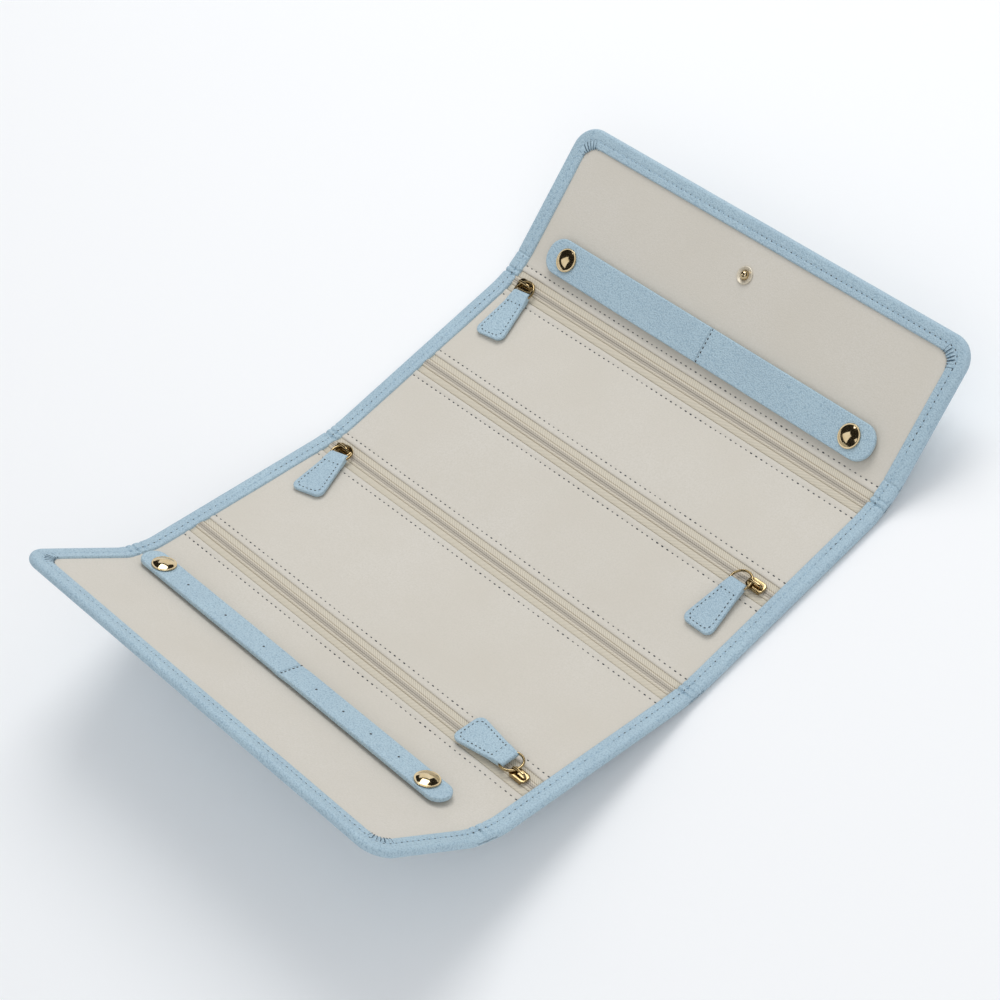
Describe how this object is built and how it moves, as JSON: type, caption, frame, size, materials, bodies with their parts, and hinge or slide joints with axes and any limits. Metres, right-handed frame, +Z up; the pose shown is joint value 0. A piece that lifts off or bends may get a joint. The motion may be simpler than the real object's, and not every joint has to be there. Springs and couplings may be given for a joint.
{
  "type": "jewelry roll",
  "caption": "Fold-up leather jewelry roll shown open, with zipped pockets, a ring strap, an earring strap, a tuck flap and a front flap with a press stud.",
  "frame": {"origin": "middle of the base panel's flat underside, mid-way between its two fold lines and its sides", "axes": "+X along the zips, +Y from the tuck flap towards the front flap, +Z up from the floor"},
  "size_m": [0.25, 0.3454, 0.0815],
  "materials": {
    "blue_leather": "pale blue pebbled leather, satin",
    "cream_lining": "cream suede lining, matt",
    "zip_tape": "beige woven tape with a nylon coil, matt",
    "padding": "pale felt interlining, matt",
    "pale_gold": "pale gold plate, bright"
  },
  "bodies": {
    "base_panel": {"base_cover": "blue_leather", "base_padding": "padding", "base_pocket_back": "cream_lining", "base_lower_lining": "cream_lining", "base_upper_lining": "cream_lining", "middle_fold": "blue_leather", "ring_fold": "blue_leather", "zip_1_lower_tape": "zip_tape", "zip_1_upper_tape": "zip_tape", "zip_2_lower_tape": "zip_tape", "zip_2_upper_tape": "zip_tape"},
    "lid_panel": {"lid_cover": "blue_leather", "lid_padding": "padding", "lid_pocket_back": "cream_lining", "lid_lower_lining": "cream_lining", "lid_upper_lining": "cream_lining", "closure_socket": "pale_gold", "earring_fold": "blue_leather", "zip_3_lower_tape": "zip_tape", "zip_3_upper_tape": "zip_tape", "zip_4_lower_tape": "zip_tape", "zip_4_upper_tape": "zip_tape"},
    "earring_spine": {"earring_spine_cover": "blue_leather", "earring_spine_lining": "cream_lining", "tuck_fold": "blue_leather", "earring_strap_left_stud": "pale_gold", "earring_strap_right_stud": "pale_gold"},
    "tuck_flap": {"tuck_cover": "blue_leather", "tuck_padding": "padding", "tuck_lining": "cream_lining"},
    "ring_spine": {"ring_spine_cover": "blue_leather", "ring_spine_lining": "cream_lining", "front_fold": "blue_leather", "ring_strap_left_stud": "pale_gold", "ring_strap_right_stud": "pale_gold"},
    "front_flap": {"front_cover": "blue_leather", "front_padding": "padding", "front_lining": "cream_lining", "closure_stud": "pale_gold", "closure_cap": "pale_gold"},
    "slider_1": {"zip_1_slider": "pale_gold"},
    "slider_2": {"zip_2_slider": "pale_gold"},
    "slider_3": {"zip_3_slider": "pale_gold"},
    "slider_4": {"zip_4_slider": "pale_gold"},
    "pull_1": {"zip_1_ring": "pale_gold", "zip_1_pull_tab": "blue_leather"},
    "pull_2": {"zip_2_ring": "pale_gold", "zip_2_pull_tab": "blue_leather"},
    "pull_3": {"zip_3_ring": "pale_gold", "zip_3_pull_tab": "blue_leather"},
    "pull_4": {"zip_4_ring": "pale_gold", "zip_4_pull_tab": "blue_leather"},
    "ring_strap_left": {"ring_strap_left_half": "blue_leather", "ring_strap_left_cap": "pale_gold"},
    "ring_strap_right": {"ring_strap_right_half": "blue_leather", "ring_strap_right_cap": "pale_gold"},
    "earring_strap_left": {"earring_strap_left_half": "blue_leather", "earring_strap_left_cap": "pale_gold"},
    "earring_strap_right": {"earring_strap_right_half": "blue_leather", "earring_strap_right_cap": "pale_gold"}
  },
  "joints": [
    {"name": "middle_fold", "type": "hinge", "parent": "base_panel", "child": "lid_panel", "pos_m": [0, -0.06247, 0.00657], "axis": [-1, 0, 0], "range_deg": [-10.5, 154.6], "deforming": ["middle_fold"]},
    {"name": "earring_spine_fold", "type": "hinge", "parent": "lid_panel", "child": "earring_spine", "pos_m": [0, -0.16953, 0.03163], "axis": [-1, 0, 0], "range_deg": [-5.5, 74], "deforming": ["earring_fold"]},
    {"name": "tuck_flap_fold", "type": "hinge", "parent": "earring_spine", "child": "tuck_flap", "pos_m": [0, -0.18323, 0.04071], "axis": [-1, 0, 0], "range_deg": [-6, 84], "deforming": ["tuck_fold"]},
    {"name": "ring_spine_fold", "type": "hinge", "parent": "base_panel", "child": "ring_spine", "pos_m": [0, 0.06174, 0.00875], "axis": [1, 0, 0], "range_deg": [-31.1, 80.9], "deforming": ["ring_fold"]},
    {"name": "front_flap_fold", "type": "hinge", "parent": "ring_spine", "child": "front_flap", "pos_m": [0, 0.08789, 0.02435], "axis": [1, 0, 0], "range_deg": [0, 78.2], "deforming": ["front_fold"]},
    {"name": "zip_1_slide", "type": "slide", "parent": "base_panel", "child": "slider_1", "axis": [1, 0, 0], "range_m": [0, 0.204]},
    {"name": "zip_2_slide", "type": "slide", "parent": "base_panel", "child": "slider_2", "axis": [-1, 0, 0], "range_m": [0, 0.204]},
    {"name": "zip_3_slide", "type": "slide", "parent": "lid_panel", "child": "slider_3", "axis": [1, 0, 0], "range_m": [0, 0.204]},
    {"name": "zip_4_slide", "type": "slide", "parent": "lid_panel", "child": "slider_4", "axis": [-1, 0, 0], "range_m": [0, 0.204]},
    {"name": "pull_1_hinge", "type": "hinge", "parent": "slider_1", "child": "pull_1", "pos_m": [-0.10905, 0.04919, 0.00719], "axis": [0.5577, 0.8145, 0.1601], "range_deg": [-120, 0]},
    {"name": "pull_2_hinge", "type": "hinge", "parent": "slider_2", "child": "pull_2", "pos_m": [0.10495, -0.01025, 0.00635], "axis": [0.5, -0.866, 0], "range_deg": [-120, 0]},
    {"name": "pull_3_hinge", "type": "hinge", "parent": "slider_3", "child": "pull_3", "pos_m": [-0.10905, -0.07056, 0.00781], "axis": [0.5577, 0.8148, -0.1582], "range_deg": [-120, 0]},
    {"name": "pull_4_hinge", "type": "hinge", "parent": "slider_4", "child": "pull_4", "pos_m": [0.10495, -0.14528, 0.02789], "axis": [-0.3654, -0.8983, 0.2441], "range_deg": [-120, 0]},
    {"name": "ring_strap_left_lift", "type": "hinge", "parent": "ring_spine", "child": "ring_strap_left", "pos_m": [0, 0.06744, 0.01587], "axis": [0, -0.8563, -0.5165], "range_deg": [-60, 0]},
    {"name": "ring_strap_right_lift", "type": "hinge", "parent": "ring_spine", "child": "ring_strap_right", "pos_m": [0, 0.06744, 0.01587], "axis": [0, 0.8563, 0.5165], "range_deg": [-60, 0]},
    {"name": "earring_strap_left_lift", "type": "hinge", "parent": "earring_spine", "child": "earring_strap_left", "pos_m": [-0.0065, -0.17453, 0.03923], "axis": [0, -0.8522, 0.5232], "range_deg": [-60, 0]},
    {"name": "earring_strap_right_lift", "type": "hinge", "parent": "earring_spine", "child": "earring_strap_right", "pos_m": [-0.0065, -0.17453, 0.03923], "axis": [0, 0.8522, -0.5232], "range_deg": [-60, 0]}
  ],
  "couplings": [
    {"joint": "earring_spine_fold", "follows": "middle_fold", "ratio": 0.47639},
    {"joint": "tuck_flap_fold", "follows": "middle_fold", "ratio": 0.54107}
  ]
}
